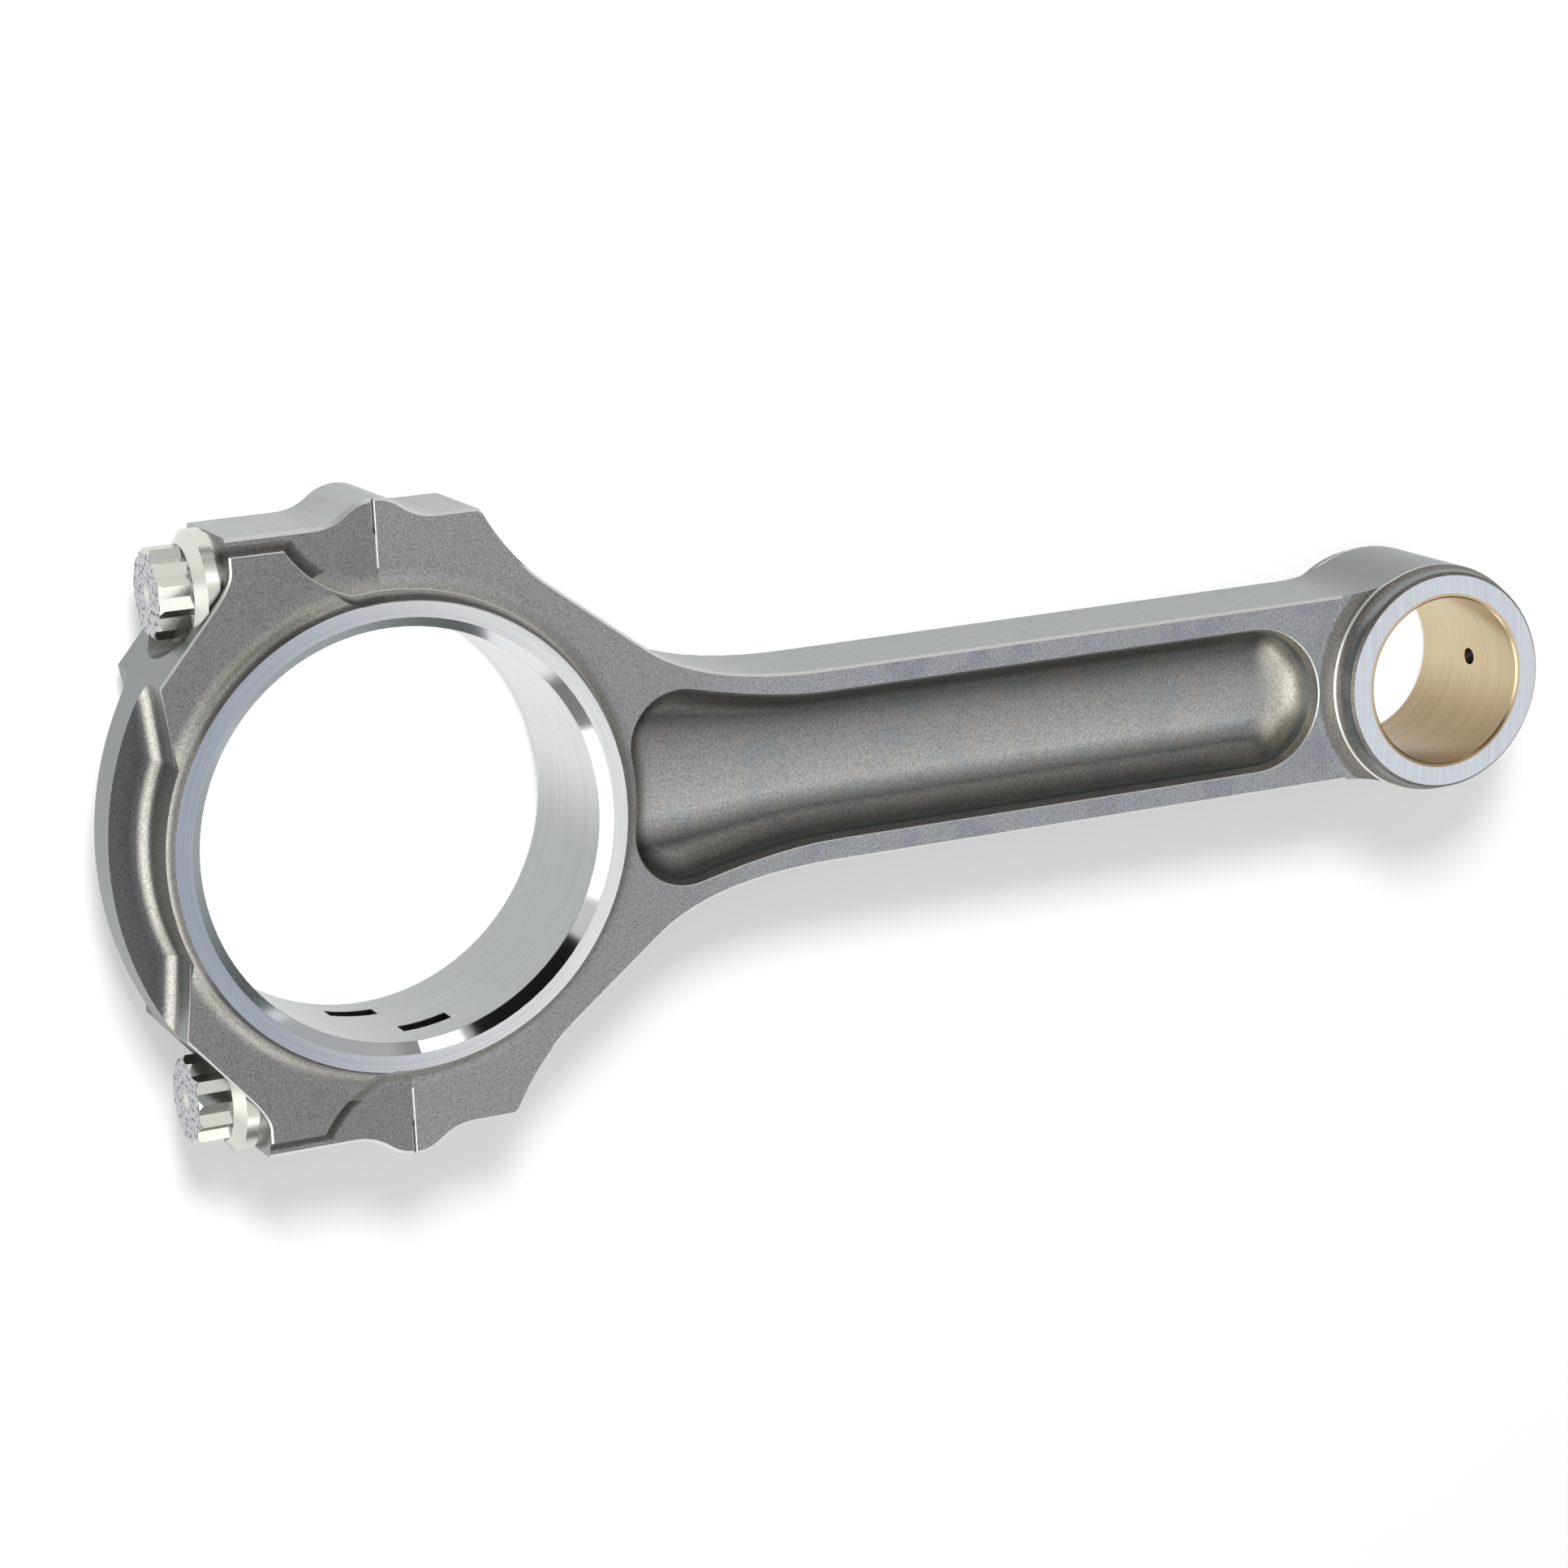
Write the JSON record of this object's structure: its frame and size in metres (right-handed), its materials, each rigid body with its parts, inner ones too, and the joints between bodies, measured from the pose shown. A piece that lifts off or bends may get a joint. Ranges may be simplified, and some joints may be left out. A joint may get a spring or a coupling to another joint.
{
  "type": "connecting rod",
  "caption": "Forged steel connecting rod with an H-section beam, a bolted big-end cap on dowel sleeves and a bronze-bushed small end.",
  "frame": {"origin": "centre of the big-end bore, half way through its width", "axes": "+X runs along the beam to the small end, +Z along both bores, +Y across the parting line towards the upper bolt; the rod lies flat on its -Z thrust faces"},
  "size_m": [0.2081, 0.0862, 0.0238],
  "materials": {
    "rod_steel": "shot-peened and machined steel, bores and thrust faces ground bright",
    "cap_steel": "shot-peened and machined steel, bore and thrust faces ground bright",
    "bolt_steel": "bright satin steel",
    "sleeve_steel": "ground steel",
    "bush_bronze": "honed bronze"
  },
  "bodies": {
    "rod": {"rod_body": "rod_steel", "pin_bush": "bush_bronze", "dowel_sleeve_upper": "sleeve_steel", "dowel_sleeve_lower": "sleeve_steel"},
    "cap": {"big_end_cap": "cap_steel"},
    "bolt_upper": {"cap_bolt_upper": "bolt_steel"},
    "bolt_lower": {"cap_bolt_lower": "bolt_steel"}
  },
  "joints": [
    {"name": "cap_removal", "type": "slide", "parent": "rod", "child": "cap", "axis": [-1, 0, 0], "range_m": [0, 0.04]},
    {"name": "bolt_upper_removal", "type": "slide", "parent": "cap", "child": "bolt_upper", "axis": [-1, 0, 0], "range_m": [0, 0.038]},
    {"name": "bolt_lower_removal", "type": "slide", "parent": "cap", "child": "bolt_lower", "axis": [-1, 0, 0], "range_m": [0, 0.038]}
  ]
}
